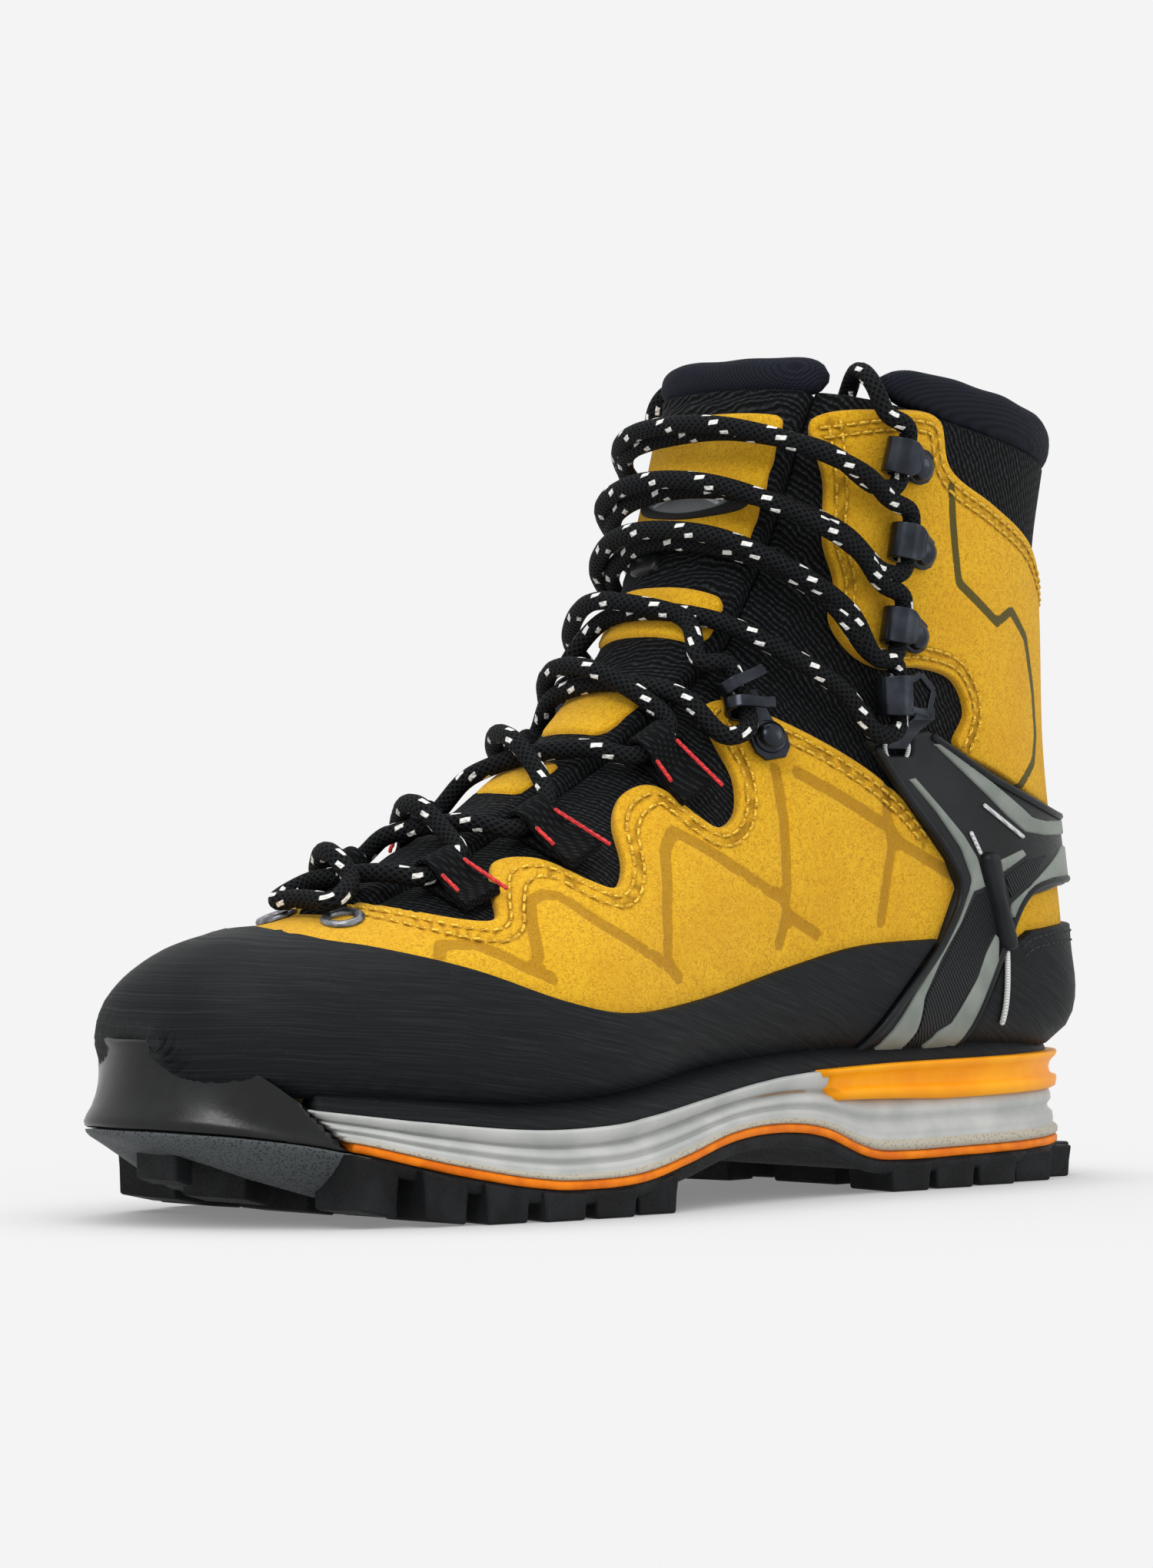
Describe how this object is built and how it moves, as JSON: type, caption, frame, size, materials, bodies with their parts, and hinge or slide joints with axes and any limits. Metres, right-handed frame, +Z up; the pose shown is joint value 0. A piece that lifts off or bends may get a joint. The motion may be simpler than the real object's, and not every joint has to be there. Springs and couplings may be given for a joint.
{
  "type": "mountaineering boot",
  "caption": "Left laced suede mountaineering boot with lugged sole, rubber toe bumper and rands, moulded heel straps, heel crampon welt and padded collar.",
  "frame": {"origin": "on the ground, under the middle of the boot's box", "axes": "+Z up; the toe points to -X, the outer side of the foot to -Y"},
  "size_m": [0.3064, 0.107, 0.207],
  "materials": {
    "rubber": "matte",
    "gloss_rubber": "semi-gloss",
    "orange": "satin",
    "midsole": "matte",
    "welt": "satin",
    "suede": "napped",
    "textile": "woven",
    "lining": "matte",
    "padding": "matte",
    "moulded": "satin",
    "gunmetal": "polished",
    "steel": "brushed",
    "board": "matte"
  },
  "bodies": {
    "boot": {"outsole": "rubber", "outsole_edge_layer": "orange", "midsole": "midsole", "heel_welt": "welt", "toe_bumper": "gloss_rubber", "shank_plate": "steel", "lasting_board": "board", "footbed": "lining", "vamp_lining": "lining", "quarter_lining_outer": "lining", "quarter_lining_inner": "lining", "toe_puff": "board", "heel_counter": "board", "textile_upper": "textile", "lower_suede": "suede", "cuff_suede_outer": "suede", "cuff_suede_inner": "suede", "heel_strap_outer": "moulded", "heel_strap_inner": "moulded", "toe_rand": "rubber", "heel_rand": "rubber", "tongue": "textile", "tongue_patch_bottom": "suede", "tongue_patch_lower": "suede", "tongue_patch_middle": "suede", "tongue_patch_top": "suede", "tongue_badge": "textile", "collar_pad": "padding", "tongue_top_pad": "padding", "lace": "textile", "eyelet_outer": "steel", "eyelet_inner": "steel", "web_loop_1_outer": "textile", "web_loop_1_inner": "textile", "web_loop_2_outer": "textile", "web_loop_2_inner": "textile", "web_loop_3_outer": "textile", "web_loop_3_inner": "textile", "locking_hook_outer": "gunmetal", "locking_hook_inner": "gunmetal", "hook_1_outer": "gunmetal", "hook_1_inner": "gunmetal", "hook_2_outer": "gunmetal", "hook_2_inner": "gunmetal", "hook_3_outer": "gunmetal", "hook_3_inner": "gunmetal"},
    "keeper": {"lace_keeper_tab": "textile"},
    "heel_loop": {"pull_tab": "textile"},
    "outer_strap_end": {"strap_hook_outer": "gunmetal"},
    "inner_strap_end": {"strap_hook_inner": "gunmetal"}
  },
  "joints": [
    {"name": "keeper_flap", "type": "hinge", "parent": "boot", "child": "keeper", "pos_m": [0.02382, 0.00882, 0.15801], "axis": [0.1003, 0.9919, -0.0782], "range_deg": [0, 60]},
    {"name": "heel_loop_swing", "type": "hinge", "parent": "boot", "child": "heel_loop", "pos_m": [0.14465, 0.00106, 0.14545], "axis": [0, -1, 0], "range_deg": [0, 25]},
    {"name": "outer_strap_hook_lift", "type": "hinge", "parent": "boot", "child": "outer_strap_end", "pos_m": [0.06065, -0.03709, 0.11004], "axis": [0.9968, -0.0796, 0.0037], "range_deg": [0, 4]},
    {"name": "inner_strap_hook_lift", "type": "hinge", "parent": "boot", "child": "inner_strap_end", "pos_m": [0.06074, 0.03801, 0.1098], "axis": [-0.9953, -0.0973, -0.0018], "range_deg": [0, 4]}
  ]
}
